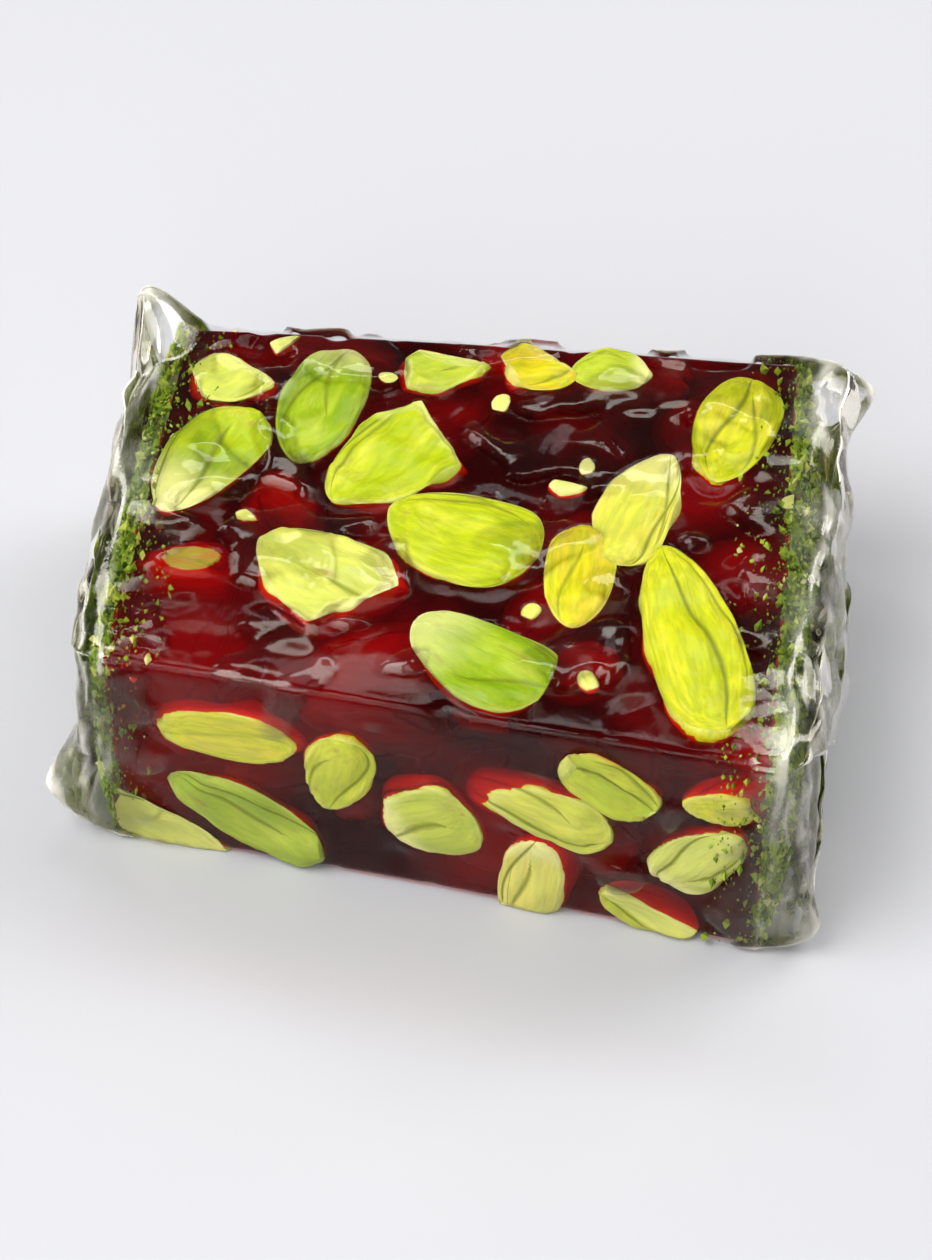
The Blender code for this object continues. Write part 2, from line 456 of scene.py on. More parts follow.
def ground_material():
    """Finely ground pistachio: every shade of green, with a few brown bits of skin."""
    shading = Shading("ground_pistachio")
    grain = shading.noise(shading.place(), 2600.0)
    tone = shading.maths("ADD", shading.attribute("tint"), shading.span(grain, 0.3, 0.7, -0.1, 0.1))
    shade = shading.ramp(
        tone,
        (0.0, colour(0.16, 0.07, 0.02)),
        (0.07, colour(0.06, 0.11, 0.004)),
        (0.4, colour(0.17, 0.27, 0.006)),
        (0.72, colour(0.34, 0.46, 0.012)),
        (0.92, colour(0.56, 0.62, 0.06)),
        (1.0, colour(0.76, 0.73, 0.28)),
    )
    return shading.finish(Base_Color=shade, Roughness=0.6, Normal=shading.bump(grain, 0.5, 0.12 * MM))


def film_material():
    """Clear film. It mirrors more where it is seen aslant and where it hangs free, less where it sticks
    to what lies under it. Towards the ends it is hazy white, partly the haze of crumpled, stacked film and
    partly painted reflection, with painted white highlights along its sharpest bends."""
    shading = Shading("clear_film")
    mirror = shading.node("ShaderNodeFresnel", IOR=1.45).outputs[0]
    place = shading.place()
    smear = shading.noise(place, 170.0, detail=4.0, roughness=0.6)
    # Painted highlights and haze: white along the sharpest bends, and a white smear towards the ends.
    lines = shading.span(shading.attribute("bend"), 0.06, 0.25, 0.0, 0.5)
    hazy = shading.maths("ADD", lines, shading.span(smear, 0.45, 0.7, 0.005, 0.2))
    white = shading.maths("MULTIPLY", shading.attribute("veil"), hazy)
    gloss = shading.span(shading.attribute("loose"), 0.0, 1.0, 0.15, 1.05)
    share = shading.maths("ADD", shading.maths("MULTIPLY", mirror, gloss), white, clamp=True)
    clear = shading.node("ShaderNodeBsdfTransparent", Color=colour(1.0, 1.0, 1.0))
    shading.blend_surfaces(share, clear, shading.surface)
    return shading.finish(
        Base_Color=colour(0.95, 0.91, 0.80),
        Metallic=shading.span(white, 0.04, 0.3, 1.0, 0.15),
        Roughness=shading.span(smear, 0.35, 0.65, 0.05, 0.13),
        Normal=shading.bump(shading.noise(place, 800.0), 0.12, 0.2 * MM),
    )


FLOOR_DIM_FROM = 0.22  # metres from the middle, from where the lamps no longer light the floor evenly
FLOOR_DIM_TO = 0.9
BACKDROP_COLOUR = colour(0.92, 0.925, 0.96)
BACKDROP_STRENGTH = 0.82


def floor_material():
    """A pale floor. It glows where the lamps don't reach, so that it is as pale far off as near by."""
    shading = Shading("pale_floor")
    away = shading.vector_maths("LENGTH", shading.place())["Value"]
    return shading.finish(
        Base_Color=colour(0.53, 0.53, 0.55),
        Roughness=0.7,
        Specular_IOR_Level=0.2,
        Emission_Color=BACKDROP_COLOUR,
        Emission_Strength=shading.span(away, FLOOR_DIM_FROM, FLOOR_DIM_TO, 0.0, BACKDROP_STRENGTH),
    )


# ----------------------------- Pistachio kernels ------------------------------

SEAM_DEPTH = 0.4 * MM
FOLD_DEPTH = 0.26 * MM
VEIN_DEPTH = 0.08 * MM
LUMP_HEIGHT = 0.14 * MM
FACET_HEIGHTS = {"whole": 0.03, "half": 0.03, "broken": 0.15, "snapped": 0.15}  # in millimetres
FULL_RELIEF_WIDTH = 5.0 * MM  # a narrower kernel's relief is lower


def rotation(*turns):
    """A rotation made of turns of (angle in degrees, axis), the first one first."""
    result = Matrix.Identity(3)
    for angle, axis in turns:
        result = Matrix.Rotation(math.radians(angle), 3, axis) @ result
    return np.array(result)


def posed(turns):
    """A kernel's rotation, from its heading, its roll and how far its pointed end is lifted."""
    heading, roll, nod = turns
    return rotation((roll, "X"), (-nod, "Y"), (heading, "Z"))


def ovoid(rng, size, spokes):
    """A kernel's smooth shape along X, blunt at one end and pointed at the other: its points, its
    triangles, and for each point its place along it, from -1 to 1, and its angle round it."""
    length, width, thickness = size
    rings = round(0.85 * spokes)
    along = -np.cos(np.linspace(0.0, math.pi, rings + 1))[1:-1]
    turn = np.linspace(0.0, TAU, spokes, endpoint=False)
    place = along + rng.uniform(0.1, 0.3) * (1.0 - along**2)
    girth = (1.0 - np.abs(along) ** 2.4) ** rng.uniform(0.5, 0.62)
    girth *= 1.0 - 0.28 * np.exp(-(1.0 - along) / 0.16)
    bend = rng.uniform(-0.14, 0.14) * width * (1.0 - place**2)
    x = np.repeat(place * length / 2.0, spokes)
    y = np.outer(girth, np.cos(turn) * width / 2.0).ravel() + np.repeat(bend, spokes)
    z = np.outer(girth, np.sin(turn) * thickness / 2.0).ravel()
    points = np.column_stack((x, y, z))
    points = np.concatenate((points, ((-length / 2.0, 0.0, 0.0), (length / 2.0, 0.0, 0.0))))

    at = np.arange(len(along) * spokes).reshape(len(along), spokes)
    after = np.roll(at, -1, axis=1)
    quads = np.stack((at[:-1], at[1:], after[1:], after[:-1]), axis=-1).reshape(-1, 4)
    first, last = len(points) - 2, len(points) - 1
    blunt = np.column_stack((np.full(spokes, first), at[0], after[0]))
    sharp = np.column_stack((np.full(spokes, last), after[-1], at[-1]))
    triangles = np.concatenate((as_triangles(quads), blunt, sharp))
    places = np.append(np.repeat(along, spokes), (-1.0, 1.0))
    angles = np.append(np.tile(turn, len(along)), (0.0, 0.0))
    return points, triangles, places, angles


def chopped(points, size, way, share, kept=0.06):
    """Takes off what lies past a plane at a share of the shape's half extent, apart from a hint of its
    bulge. Also returns how far into the cut each point is, from 0 to 1."""
    way = np.array(way) / np.linalg.norm(way)
    half = np.linalg.norm(np.array(size) / 2.0 * way)
    over = np.maximum(points @ way - share * half, 0.0)
    return points - np.outer(over * (1.0 - kept), way), smooth_step(over, 0.0, 0.12 * MM)


def near_line(aside, wide):
    """How near each point is to a line, from 0 to 1, where aside is how far it is from it."""
    return np.exp(-((aside / wide) ** 2))


def breaks(kind, rng):
    """Where a kernel is broken: for each break the way off it, and its share of the half extent."""
    if kind == "whole":
        return ()
    if kind == "half":
        return (((0.0, 0.0, 1.0), 0.1),)
    side = rng.choice((-1.0, 1.0))
    if kind == "broken":
        return (
            ((rng.uniform(0.5, 1.0), side * rng.uniform(0.6, 1.0), 0.25), rng.uniform(0.2, 0.4)),
            ((-1.0, side * rng.uniform(-0.5, 0.7), 0.2), rng.uniform(0.5, 0.75)),
        )
    return (
        ((1.0, side * rng.uniform(0.3, 0.6), 0.3), rng.uniform(0.35, 0.5)),
        ((0.8, -side * rng.uniform(0.8, 1.2), 0.25), rng.uniform(0.5, 0.65)),
    )


def kernel(seed, size, spokes, kind, up, tip):
    """A kernel along X, lying flat. Each has a seam all round. A half one is split along it, with its cut
    side up, a broken one has lost a part of both ends, and a snapped one has lost its pointed end. up is
    the angle round it, in degrees, of the side that shows, where it has one more fold. tip is how pale
    its blunt end, if it is less than 0, or its pointed end is. Returns its smooth points, its triangles,
    and at each point the way out, the relief along it, how far it is from the seam and from the fold and
    how much skin is left, how pale it is, and its place in the kernel's grain."""
    rng = np.random.default_rng(seed)
    points, triangles, places, angles = ovoid(rng, size, spokes)
    for _ in range(3):
        way = rng.normal(size=3) * (0.6, 1.0, 0.8)
        points, _ = chopped(points, size, way, rng.uniform(0.84, 0.96), kept=0.35)
    flesh = np.zeros(len(points))
    for way, share in breaks(kind, rng):
        points, cut = chopped(points, size, way, share)
        flesh = np.maximum(flesh, cut)

    out = points / np.array(size) ** 2
    out /= np.linalg.norm(out, axis=1, keepdims=True)
    grain = points * np.array(ALONG_GRAIN)
    ends = 1.0 - places**4
    from_seam = np.sin(angles - 0.35 * np.sin(2.2 * places + rng.uniform(0.0, TAU)))
    turn = math.radians(up + rng.choice((-1.0, 1.0)) * rng.uniform(18.0, 45.0))
    from_fold = np.sin((angles - turn - 0.5 * np.sin(1.6 * places + rng.uniform(0.0, TAU))) / 2.0)
    part = smooth_step(rng.choice((-1.0, 1.0)) * places, -0.5, 0.1) * ends
    coarse = ripples(rng.integers(1 << 30), 2.6 * MM)(grain)
    fine = ripples(rng.integers(1 << 30), 1.2 * MM)(grain)
    vein = near_line(coarse, 0.2) + 0.6 * near_line(fine, 0.2)
    skin_left = 1.0 - 0.8 * flesh
    relief = LUMP_HEIGHT * ripples(rng.integers(1 << 30), 4.5 * MM)(points)
    relief -= skin_left * (
        SEAM_DEPTH * (near_line(from_seam, 0.19) * ends)
        + FOLD_DEPTH * (near_line(from_fold, 0.1) * part)
        + VEIN_DEPTH * vein
    )
    facets = folds(rng.integers(1 << 30), 2.6 * MM)(points) * MM
    relief += facets * FACET_HEIGHTS[kind]
    fullness = min(1.0, size[1] / FULL_RELIEF_WIDTH)
    relief *= fullness
    windows = np.maximum((ends, part), 0.05)
    creases = np.column_stack((from_seam / windows[0], from_fold / windows[1], skin_left * fullness**2))
    cap = smooth_step(np.sign(tip) * places, 0.25, 0.85) * abs(tip)
    pale = np.maximum(cap, 0.25 * flesh)
    drift = rng.uniform(-50.0, 50.0, 3) * MM
    return points, triangles, out, relief, creases, pale, grain + drift


def sliced(points, face, stand, press, seed):
    """Takes off what stands out of a face of the slab. The knife and the film leave a kernel no more
    than about stand out of the jelly: what was over that is pressed down, to press of its height where
    it is low. Also returns how far past the face each point was, from 0 to 1, and how near its rim."""
    over = (points - face.middle) @ face.out
    if over.max() <= 0.0:
        return points, np.zeros(len(points)), np.zeros(len(points))
    dome = stand * (1.0 - np.exp(-np.maximum(over, 0.0) * press / stand))
    past = smooth_step(over, 0.0, 0.15 * MM)
    rim = past * (1.0 - smooth_step(over, 0.2 * MM, 0.7 * MM))
    grain = ripples(seed, 1.5 * MM)(points) * 0.02 * MM
    change = np.where(over > 0.0, dome + grain * past - over, 0.0)
    return points + change[:, None] * face.out, past, rim


CUT_STAND = 0.08 * MM  # how far a kernel stands out of a face that the knife cut
CUT_PRESS = 0.1
BARELY_PRESSED = 0.4  # a kernel pressed to this share of its height or more keeps all its creases
KERNEL_LOWEST = 0.04 * MM


class Kernels:
    """The kernels in the slab, as one heap of meshes, and the places that they take, as balls."""

    def __init__(self):
        self.heap = Heap("tint", "creases", "pale", "grain")
        self.middles = np.empty((0, 3))
        self.radii = np.empty(0)

    def balls(self, face, at, size, turns):
        """The middles of three balls in a row that fill a kernel, and their radius."""
        way = face.axes @ posed(turns)[:, 0]
        apart = np.array((-1.0, 0.0, 1.0)) * (size[0] - size[1]) / 2.0
        return face.place(np.array((at,)))[0] + apart[:, None] * way, size[1] / 2.0

    def has_room(self, face, at, size, turns, share):
        """Whether a kernel would keep at least this share of the two radii from all that is taken."""
        middles, radius = self.balls(face, at, size, turns)
        gaps = np.linalg.norm(self.middles[None] - middles[:, None], axis=-1)
        return bool((gaps >= (self.radii + radius) * share).all())

    def add(self, face, at, size, turns, seed, spokes, kind="whole", tint=0.5, pale=0.0, tip=0.0,
            stand=CUT_STAND, press=CUT_PRESS, cut_pale=0.15):
        """Puts a kernel at a face of the slab. at is its middle, across, upwards and out of the face,
        and turns are its heading, its roll and how far its pointed end is lifted, in degrees."""
        middles, radius = self.balls(face, at, size, turns)
        self.middles = np.concatenate((self.middles, middles))
        self.radii = np.concatenate((self.radii, np.full(len(middles), radius)))
        points, triangles, out, relief, creases, paleness, grain = kernel(
            seed, size, spokes, kind, 90.0 - turns[1], tip
        )
        turned = face.axes @ posed(turns)
        points = face.place(np.array((at,))) + points @ turned.T
        out = out @ turned.T
        pasts, rims = np.zeros(len(points)), np.zeros(len(points))
        past_each = []
        for number, side in enumerate(FACES.values()):
            here = side is face
            left_out = (stand, press) if here else (CUT_STAND, CUT_PRESS)
            points, past, rim = sliced(points, side, *left_out, seed + 7 + number)
            out = out * (1.0 - past[:, None]) + side.out * past[:, None]
            left = 1.0 - past * (0.0 if here and press >= BARELY_PRESSED else 0.7)
            relief = relief * left
            creases = creases * np.column_stack((np.ones((len(left), 2)), left))
            past_each.append(past)
            pasts = np.maximum(pasts, past)
            rims = np.maximum(rims, rim)
        points = points + out * relief[:, None]
        for side, past in zip(FACES.values(), past_each):
            short = CUT_STAND * past - (points - side.middle) @ side.out
            raised = (short > 0.0) & (past > 0.0)
            points = points + np.where(raised, short, 0.0)[:, None] * side.out
        points[:, 2] = np.maximum(points[:, 2], KERNEL_LOWEST)
        paleness = np.clip(pale + paleness + 0.28 * rims + cut_pale * pasts, 0.0, 1.0)
        self.heap.add(points, triangles, tint=tint, creases=creases, pale=paleness, grain=grain)


GOLDEN = 1.0  # the tint of a golden kernel: 0 is green, 0.75 yellow, and over 1 is brown

# The kernels that show on the top: across and upwards in millimetres from the middle of the pack,
# length, width and thickness, heading and roll in degrees, tint, how pale it is, how pale its blunt end,
# if less than 0, or its pointed end is, how far it stands out of the jelly, and its kind.
TOP_KERNELS = (
    (-18.0, 11.4, 6.2, 5.6, 4.4, 30, 20, 0.5, 0.25, 0.0, 0.35, "broken"),
    (-17.5, 3.2, 10.8, 6.2, 5.0, 66, 25, 0.36, 0.0, -0.85, 0.65, "whole"),
    (-11.1, 9.4, 11.2, 6.3, 5.2, 82, 60, 0.16, 0.0, 0.7, 0.7, "whole"),
    (-5.2, 6.6, 14.2, 8.2, 5.6, 60, 15, 0.46, 0.0, 0.7, 0.65, "snapped"),
    (-0.1, -0.6, 10.6, 7.9, 5.5, -15, 0, 0.52, 0.0, 0.0, 0.7, "whole"),
    (-7.2, -5.6, 12.8, 8.2, 5.5, -24, 20, 0.55, 0.3, 0.8, 0.55, "snapped"),
    (2.8, -10.9, 10.4, 6.6, 5.2, -26, 8, 0.16, 0.0, -0.5, 0.75, "whole"),
    (7.8, -3.6, 8.8, 4.6, 4.4, 92, 0, 0.93, 0.0, 0.0, 0.45, "whole"),
    (11.0, 3.0, 10.6, 5.6, 4.8, -102, 35, 0.78, 0.15, -0.6, 0.5, "whole"),
    (16.2, 11.0, 10.0, 7.0, 5.4, 80, 72, 0.72, 0.0, 0.0, 0.75, "whole"),
    (15.4, -7.6, 16.2, 7.9, 6.0, -70, 80, 0.7, 0.0, 0.0, 0.85, "whole"),
    (2.4, 15.2, 5.8, 4.8, 4.2, 10, 0, 0.95, 0.0, 0.0, 0.4, "broken"),
    (7.2, 15.2, 5.4, 4.0, 3.8, 8, 30, 0.45, 0.05, 0.7, 0.3, "whole"),
    (-4.2, 14.6, 7.0, 4.6, 4.2, 40, 20, 0.45, 0.1, 0.0, 0.4, "broken"),
    (-17.4, -5.6, 6.6, 4.8, 4.4, 14, 40, 1.5, -0.4, 0.0, 0.1, "whole"),
)
SUNK_KERNELS = (  # across, upwards, cover, length, width, thickness, heading and tint
    (-12.0, 1.4, 1.2, 8.0, 5.2, 4.4, 130, 0.3),
    (9.0, -10.0, 1.4, 6.0, 4.4, 4.0, 20, 0.3),
    (-13.0, -14.0, 3.2, 10.0, 6.0, 4.6, -8, 0.8),
    (19.0, -15.2, 2.6, 7.0, 4.8, 4.2, 40, 0.9),
)
TOP_BITS = (  # across, upwards, length, heading and how pale
    (5.9, 4.3, 2.8, 30, 0.5),
    (7.0, 6.3, 1.7, 80, 0.6),
    (-7.4, 12.6, 1.6, -20, 0.3),
    (5.2, -6.9, 1.7, 70, 0.1),
    (-14.9, 14.8, 2.6, 15, 0.5),
    (0.6, 11.2, 1.9, 60, 0.4),
    (-14.2, -1.2, 1.8, 10, 0.2),
    (9.6, -12.2, 1.9, 130, 0.3),
    (20.4, 5.2, 2.0, 40, 0.4),
)

SPOKES = {"top": 60, "sunk": 28, "bit": 18, "inside": 16}  # how many points go round a kernel
TOP_SEED, SUNK_SEED, BIT_SEED = 100, 150, 170
TOP_PRESS = 0.5
TOP_SUNK = 0.02  # how deep a kernel's middle lies under the top, as a share of its thickness
BROWN_SUNK = 0.42
BIT_SUNK = 0.1
BIT_SHAPE = np.array((1.0, 0.75, 0.65))  # length, width and thickness
BIT_STAND = 0.4 * MM

# The kernels of each side: how many, how far they stand out of the jelly in millimetres, what share of
# their height is left, and how many points go round one.
SIDE_KERNELS = {"front": (11, 0.5, 0.42, 34), "back": (11, 0.5, 0.42, 34), "bottom": (14, 0.08, 0.1, 20)}
SIDE_SIZES = ((6.5, 4.6, 4.2), (12.5, 7.4, 5.8))  # smallest and largest length, width and thickness
SIDE_SEED = 52

KERNELS_INSIDE = 60
INSIDE_SIZES = ((8.5, 5.0, 4.2), (12.0, 6.8, 5.4))
INSIDE_DEPTHS = (5.0, 13.6)
INSIDE_SEED = 11
DARK_PLACES = ((7.0, 10.0, 6.0), (-13.0, 6.0, 4.0), (10.0, -13.0, 5.0))  # across, upwards and radius
DARK_DEPTH = 8.0 * MM


def scatter_side(kernels, name, seed):
    """Kernels cut by the knife that made this face, at random but clear of one another."""
    rng = np.random.default_rng(seed)
    face = FACES[name]
    count, stand, press, spokes = SIDE_KERNELS[name]
    placed = 0
    for _ in range(count * 80):
        if placed == count:
            break
        size = rng.uniform(*SIDE_SIZES) * MM
        across = rng.uniform(-0.5, 0.5) * (face.width - 5.0 * MM)
        upwards = rng.uniform(-0.5, 0.36) * (face.height - 3.0 * MM)
        at = (across, upwards, -rng.uniform(0.0, 0.2) * size[2])
        turns = rng.uniform((0, 0, -14), (360, 360, 14))
        kind = rng.choice(("whole", "whole", "whole", "broken", "half"))
        tint = rng.choice((0.2, 0.35, 0.5, 0.6, 0.75, 0.9)) + rng.uniform(-0.06, 0.06)
        pale = rng.choice((0.0, 0.1, 0.3))
        tip = rng.choice((-0.7, 0.0, 0.0, 0.7))
        own_seed = int(rng.integers(1 << 30))
        if not kernels.has_room(face, at, size, turns, 0.9):
            continue
        kernels.add(face, at, size, turns, own_seed, spokes, kind, tint, pale, tip, stand * MM, press)
        placed += 1


def scatter_inside(kernels, seed):
    """Whole kernels in the depth of the jelly. Where none lies high, the jelly looks dark."""
    rng = np.random.default_rng(seed)
    top = FACES["top"]
    placed = 0
    for _ in range(KERNELS_INSIDE * 20):
        if placed == KERNELS_INSIDE:
            break
        size = rng.uniform(*INSIDE_SIZES) * MM
        flat = plan(*rng.uniform(0.1, 0.9, 2))
        depth = rng.uniform(*INSIDE_DEPTHS) * MM
        at = (*(flat - top.middle[:2]), -depth)
        turns = rng.uniform((0, 0, -20), (360, 360, 20))
        tint = rng.uniform(0.3, 1.0)
        own_seed = int(rng.integers(1 << 30))
        over_dark = any(math.dist(flat / MM, place[:2]) < place[2] for place in DARK_PLACES)
        if over_dark and depth < DARK_DEPTH:
            continue
        if not kernels.has_room(top, at, size, turns, 0.75):
            continue
        kernels.add(top, at, size, turns, own_seed, SPOKES["inside"], tint=tint, pale=0.2)
        placed += 1


def on_top(across, upwards, out):
    """A place in the top's frame, from millimetres from the middle of the pack."""
    middle = FACES["top"].middle
    return across * MM - middle[0], upwards * MM - middle[1], out


def make_kernels():
    kernels = Kernels()
    top = FACES["top"]
    for number, row in enumerate(TOP_KERNELS):
        across, upwards, *size, heading, roll, tint, pale, tip, stand, kind = row
        size = np.array(size) * MM
        at = on_top(across, upwards, -(BROWN_SUNK if tint > GOLDEN else TOP_SUNK) * size[2])
        kernels.add(top, at, size, (heading, roll, 0.0), TOP_SEED + number, SPOKES["top"], kind, tint,
                    pale, tip, stand * MM, TOP_PRESS, cut_pale=0.0)
    for number, (across, upwards, cover, *size, heading, tint) in enumerate(SUNK_KERNELS):
        size = np.array(size) * MM
        at = on_top(across, upwards, -cover * MM - size[2] / 2.0)
        kernels.add(top, at, size, (heading, 0.0, 0.0), SUNK_SEED + number, SPOKES["sunk"], tint=tint)
    for number, (across, upwards, length, heading, pale) in enumerate(TOP_BITS):
        size = BIT_SHAPE * length * MM
        at = on_top(across, upwards, -BIT_SUNK * size[2])
        kernels.add(top, at, size, (heading, 40.0 * number, 0.0), BIT_SEED + number, SPOKES["bit"], "broken",
                    tint=0.6, pale=pale, stand=BIT_STAND, press=TOP_PRESS, cut_pale=0.0)
    for number, name in enumerate(SIDE_KERNELS):
        scatter_side(kernels, name, SIDE_SEED + number)
    scatter_inside(kernels, INSIDE_SEED)
    return kernels.heap


# --------------------------------- The jelly ----------------------------------

JELLY_CELLS = (136, 112, 58)
JELLY_ROUND = 0.6 * MM
SLOW_WAVES = 0.06 * MM
KNIFE_WAVES = 0.025 * MM
DENTS = 0.25 * MM
BASE_DENTS = -0.1 * MM
END_BULGE = 0.7 * MM
CLIMB = 0.04 * MM  # how far the jelly climbs a kernel that it sticks to
CLIMB_REACH = 0.4 * MM
KERNEL_NEAR = 2.0 * MM
WAVY_FROM = 1.2 * MM  # how far from a kernel the jelly's skin has its full waves
NEAR_SKIN = -0.4 * MM  # over a kernel that comes this near to the slab's skin, the jelly lies no higher
RAY_START = 3.0 * MM

# Where the jelly is cloudy, partly its own cloudiness and partly a painted glow of light shining
# through it: along, back and up in millimetres, and the radius.
CLOUDY_GLOW_PLACES = (
    (-16.0, -13.5, 17.5, 7.0),
    (-7.0, -15.0, 17.5, 6.0),
    (20.5, -16.5, 17.0, 5.0),
    (20.0, -2.0, 17.5, 4.0),
    (14.0, 4.5, 17.5, 4.0),
    (-20.0, -14.0, 8.0, 7.0),
    (4.0, -17.0, 6.0, 6.0),
    (15.0, 17.0, 8.0, 8.0),
)


def round_kernels(points, ways, moved, tree):
    """The jelly's moves at these points of its skin, changed so that it climbs the kernels in the tree
    a little, and doesn't swell over the ones that come up to the skin."""
    moved = moved.copy()
    for number, (point, way) in enumerate(zip(points, ways)):
        start = Vector(point + way * RAY_START)
        if tree.ray_cast(start, Vector(-way), RAY_START - NEAR_SKIN)[3] is not None:
            moved[number] = min(moved[number], 0.0)
            continue
        distance = tree.find_nearest(point, KERNEL_NEAR)[3]
        if distance is not None:
            moved[number] *= min(distance / WAVY_FROM, 1.0)
            moved[number] += CLIMB * math.exp(-distance / CLIMB_REACH)
    return moved


def glow_at(points):
    """How cloudy the jelly is, from 0 to 1: partly its own cloudiness, partly a painted glow."""
    glow = np.zeros(len(points))
    for *middle, radius in CLOUDY_GLOW_PLACES:
        away = np.linalg.norm(points / MM - np.array(middle), axis=1) / radius
        glow = np.maximum(glow, 1.15 - away)
    return np.clip(glow, 0.0, 1.0)


def bulge(across, up):
    """How far the jelly's ends bulge, from shares of an end's width and height."""
    return END_BULGE * arch(up, 2.2) * arch(across, 5)


def make_jelly(material, kernels_tree):
    triples, quads = skin_lattice(JELLY_CELLS)
    lengths = (SLAB_LENGTH, SLAB_DEPTH, SLAB_HEIGHT)
    lines = [spaced(cells, length, JELLY_ROUND, 3) for cells, length in zip(JELLY_CELLS, lengths)]
    shares = np.column_stack([line[triples[:, axis]] for axis, line in enumerate(lines)])
    points, ways = skin(shares, JELLY_ROUND)
    slow = ripples(1, 16.0 * MM)(points) * SLOW_WAVES
    knife = ripples(2, 5.0 * MM)(points * np.array((0.35, 1.0, 1.0))) * KNIFE_WAVES
    dents = -np.maximum(ripples(3, 4.5 * MM)(points) - 0.9, 0.0) * DENTS
    moved = np.where(shares[:, 2] < 0.002, np.maximum(dents, BASE_DENTS), slow + knife + dents)
    moved = round_kernels(points, ways, moved, kernels_tree)
    points += ways * moved[:, None]
    side = 2.0 * shares[:, 0] - 1.0
    points[:, 0] += bulge(shares[:, 1], shares[:, 2]) * side**9
    points[:, 2] = np.maximum(points[:, 2], SLAB_BASE)
    return new_piece("jelly_block", points, quads, material, glow=glow_at(points))


# ---------------------------- The ground pistachio ----------------------------

COAT_ROWS = 44
COAT_COLUMNS = 82
COAT_INSET = 0.5 * MM
COAT_BACK = -0.35 * MM  # where the coat's inner side lies, in the jelly
CHIPS_AN_END = 8500
CHIP_SPILL = 3.5 * MM  # how far from an end chips still lie on the sides
SPILT = 0.16  # the share of the chips that lie there
CHIP_OFF = 0.05 * MM  # how far off the sides and the floor they lie


def end_shares(face, across, upwards):
    return across / face.width + 0.5, upwards / face.height + 0.5


def end_bulge(face, across, upwards):
    """How far the jelly's ends bulge at places across and upwards of an end."""
    a, u = end_shares(face, across, upwards)
    return bulge(np.clip(a, 0.0, 1.0), np.clip(u, 0.0, 1.0))


def coat_edge(face, across, upwards):
    """How much of its thickness the coat has, from 0 at the end's rim to 1."""
    a, u = end_shares(face, across, upwards)
    return arch(a, 14) * arch(u, 8)


def add_coat(heap, face, seed):
    """The closed, lumpy layer that the chips lie on, with a ragged edge."""
    across, upwards = np.meshgrid(np.linspace(-0.5, 0.5, COAT_COLUMNS), np.linspace(-0.5, 0.5, COAT_ROWS))
    across, upwards = across.ravel(), upwards.ravel()
    unit = np.column_stack((across * face.width, upwards * face.height, np.zeros(len(across))))
    ragged = COAT_INSET * (1.0 + 0.5 * ripples(seed + 2, 2.2 * MM)(unit))
    across = across * (face.width - ragged)
    upwards = upwards * (face.height - ragged)
    lumps = ripples(seed, 2.4 * MM)(unit)
    grains = ripples(seed + 1, 0.9 * MM)(unit)
    edge = coat_edge(face, unit[:, 0], unit[:, 1])
    out = end_bulge(face, across, upwards) + (0.1 + (0.75 + 0.2 * lumps + 0.09 * grains) * edge) * MM
    outer = face.place(np.column_stack((across, upwards, out)))
    inner = face.place(np.column_stack((across, upwards, np.full_like(across, COAT_BACK))))
    count = len(across)
    at = np.arange(count).reshape(COAT_ROWS, COAT_COLUMNS)
    faces = quads_between(at[:-1], at[1:])
    border = np.concatenate((at[0, :-1], at[:-1, -1], at[-1, :0:-1], at[:0:-1, 0]))
    after = np.roll(border, -1)
    walls = np.column_stack((border + count, after + count, after, border))
    quads = np.concatenate((faces, faces[:, ::-1] + count, walls))
    # The tint follows the lumps: the coat is darker in its hollows and paler on its lumps.
    tint = np.clip(0.4 + 0.16 * lumps + 0.12 * grains, 0.05, 1.0)
    heap.add(np.concatenate((outer, inner)), as_triangles(quads), tint=np.tile(tint, 2))


def chip_shape():
    """An octahedron's points and triangles."""
    points = np.concatenate((np.eye(3), -np.eye(3))) / 2.0
    upper = [(0, 1, 2), (1, 3, 2), (3, 4, 2), (4, 0, 2)]
    lower = [(a, 5, b) for a, b, _ in upper]
    return points, np.array(upper + lower)


def chip_place(rng, face):
    """A random place for a chip, across, upwards and out of an end: on the end, or with falling odds on
    one of the slab's sides beside it."""
    spill = CHIP_SPILL * rng.random() ** 3.0
    across, upwards = rng.uniform(-0.5, 0.5, 2) * np.array((face.width, face.height))
    if rng.random() > SPILT:
        edge = coat_edge(face, across, upwards)
        out = end_bulge(face, across, upwards) + (0.1 + 0.75 * edge + rng.uniform(0.0, 0.35)) * MM
        return across, upwards, out
    if rng.random() < 0.6:
        return across, (face.height / 2.0 + CHIP_OFF) * (1.0 if rng.random() < 0.8 else -0.99), -spill
    return (face.width / 2.0 + CHIP_OFF) * rng.choice((-1.0, 1.0)), upwards, -spill


